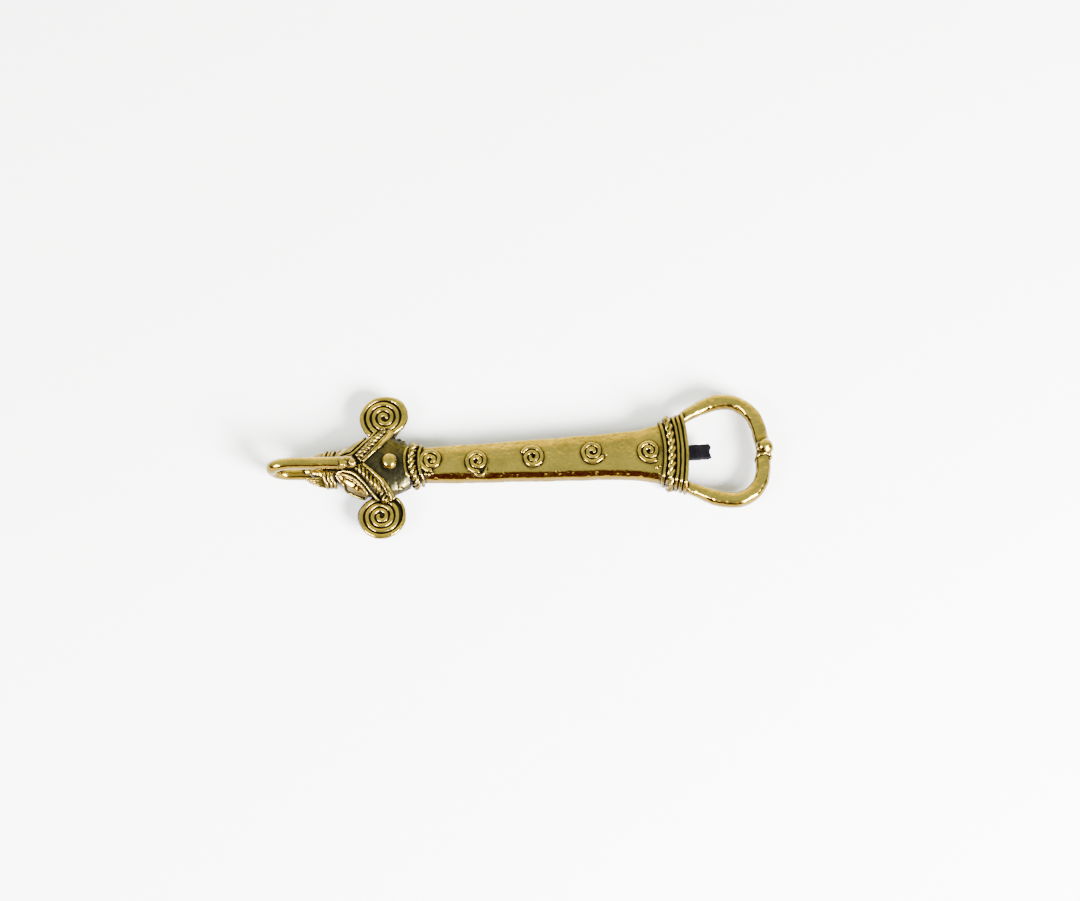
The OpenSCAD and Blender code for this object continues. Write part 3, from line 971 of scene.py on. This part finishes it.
# The brow's lines, as pairs of x and the distance from the middle plane, from the trunk out to the ear.
BROW_LINES = {
    "front": ((-58.2, 2.6), (-55.4, 2.3), (-52.4, 3.6), (-49.6, 6.4), (-47.0, 9.6), (-45.0, 12.0)),
    "rope": ((-51.8, 1.2), (-50.2, 2.7), (-48.0, 5.1), (-45.8, 7.6), (-43.8, 10.3), (-42.5, 12.8)),
    "middle": ((-50.7, 0.4), (-48.4, 2.8), (-46.2, 5.0), (-44.1, 7.3), (-42.3, 9.9), (-41.2, 12.2)),
    "back": ((-49.9, 0.2), (-47.7, 2.3), (-45.5, 4.4), (-43.3, 6.7), (-41.5, 9.3), (-40.4, 11.8)),
}
BROW_WIRES = {"front": (0.62, 0.5), "middle": (0.38, 0.5), "back": (0.5, 0.95)}     # radii at start and end
BROW_WIRE_LIFT = 0.25
BROW_ROPE_LIFT = 0.5


def brow_line(line, side, surface, lift):
    """The line laid on the surface, or on the ear's level where nothing lies under it."""
    points = []
    for x, from_middle in BROW_LINES[line]:
        y = side * from_middle
        points.append(Vector((x, y, surface.height(x, y, MID_Z + 0.9) + lift)))
    return even(points, ROPE_STEP)


def brow(side, name, surface):
    """A twisted rope between wires, laid from the trunk's root over the head and the edge of the ear."""
    path = brow_line("rope", side, surface, BROW_ROPE_LIFT)
    ends = round_ends(0.9, path_length(path))
    rings = sweep(path, rope_section(ROPE_R), scale=ends, turn=rope_turn(path, 1.75))
    piece(f"brow_rope_{name}", skin(rings), BRASS, dents=ROPE_DENTS, seed=120 + side)
    for i, (line, (slim, broad)) in enumerate(BROW_WIRES.items()):
        def width(share):
            return mix(1.0, broad / slim, smooth_step(share * 1.4 - 0.3))
        path = wandering(brow_line(line, side, surface, BROW_WIRE_LIFT), 0.12, 3, 122 + i)
        scale = round_ends(slim, path_length(path), width=width)
        rings = sweep(path, round_section(slim, 14, squash=1.1), scale=scale)
        piece(f"brow_wire_{line}_{name}", skin(rings), BRASS, dents=WIRE_DENTS, seed=125 + i)


# ---- light and camera ----

FLOOR_HALF = 3.0            # metres


def floor():
    h = FLOOR_HALF
    mesh = bpy.data.meshes.new("floor")
    mesh.from_pydata([(-h, -h, 0), (h, -h, 0), (h, h, 0), (-h, h, 0)], [], [(0, 1, 2, 3)])
    material, _, shader = new_material("paper")
    shader.inputs["Base Color"].default_value = (0.93, 0.93, 0.93, 1)
    shader.inputs["Roughness"].default_value = 0.8
    mesh.materials.append(material)
    thing = bpy.data.objects.new("floor", mesh)
    bpy.context.scene.collection.objects.link(thing)


WINDOW_SIZE = (0.7, 0.5)    # metres


def softbox(name, place, power):
    """A window at a place in metres, which faces the object."""
    light = bpy.data.lights.new(name, "AREA")
    light.shape = "RECTANGLE"
    light.size, light.size_y = WINDOW_SIZE
    light.energy = power
    thing = bpy.data.objects.new(name, light)
    thing.location = place
    thing.rotation_euler = Vector(place).to_track_quat("Z", "Y").to_euler()
    bpy.context.scene.collection.objects.link(thing)


def room():
    """A grey ceiling, a bright warm wall and window behind the object, and a dark red wall in front."""
    world = bpy.data.worlds.new("room")
    bpy.context.scene.world = world
    world.use_nodes = True
    tree = world.node_tree
    tree.nodes.clear()
    way = add(tree, "ShaderNodeTexCoord").outputs["Generated"]
    parts = add(tree, "ShaderNodeSeparateXYZ", {0: way})
    back, up = parts.outputs["Y"], parts.outputs["Z"]       # 1 is straight back, or straight up
    ceiling = blend(tree, ranged(tree, back, -0.1, -0.5), (0.68, 0.78, 0.75, 1), (0.36, 0.40, 0.38, 1))
    warm = blend(tree, ranged(tree, back, 0.43, 0.68), ceiling, (1.5, 1.35, 0.50, 1))
    window = blend(tree, ranged(tree, back, 0.76, 0.9), warm, (2.3, 2.2, 0.7, 1))
    in_front = maths(tree, "MULTIPLY", ranged(tree, up, 0.52, 0.46), ranged(tree, back, 0.1, -0.5))
    walls = blend(tree, in_front, window, (0.50, 0.06, 0.12, 1))
    background = add(tree, "ShaderNodeBackground", {"Color": walls, "Strength": 1.0})
    output = add(tree, "ShaderNodeOutputWorld")
    tree.links.new(background.outputs[0], output.inputs[0])


SENSOR_WIDTH = 36
CAMERA_DISTANCE = 1.1           # metres
CAMERA_ELEVATION = math.radians(66.5)
CAMERA_ROLL = math.radians(-2.72)
VIEW_WIDTH = 0.3413             # width of the picture at the object, in metres
AIM = Vector((6.2, 3.2, 4.2)) * MM


def camera():
    data = bpy.data.cameras.new("camera")
    data.sensor_width = SENSOR_WIDTH
    data.lens = SENSOR_WIDTH * CAMERA_DISTANCE / VIEW_WIDTH
    thing = bpy.data.objects.new("camera", data)
    back = Vector((0, -math.cos(CAMERA_ELEVATION), math.sin(CAMERA_ELEVATION)))
    turned = back.to_track_quat("Z", "Y").to_matrix().to_4x4() @ Matrix.Rotation(CAMERA_ROLL, 4, "Z")
    thing.matrix_world = Matrix.Translation(AIM + back * CAMERA_DISTANCE) @ turned
    bpy.context.scene.collection.objects.link(thing)
    bpy.context.scene.camera = thing


handle()
collars()
for number in range(len(SCROLL_ENDS)):
    scroll(number)
opener_ring()
ring_knob()
tongue()
head_piece = head()
forehead_bead()
jaw()
jaw_band()
trunk()
for side_sign, side_name in ((LEFT, "left"), (RIGHT, "right")):
    tusk(side_sign, side_name)
    ear_centre = middle(f"ear_coil_{side_name}") + Vector((EAR_SHIFT, -EAR_DRAWN_IN * side_sign, 0))
    coil = ear_coil(side_sign, side_name, ear_centre)
    ear_plate(side_sign, side_name, ear_centre)
    eye(side_sign, side_name, Surface(head_piece))
    brow(side_sign, side_name, Surface(head_piece, coil))
floor()
room()
softbox("window_right", (0.88, -0.88, 0.60), 330)
softbox("window_left", (-0.94, -0.66, 0.80), 60)
camera()
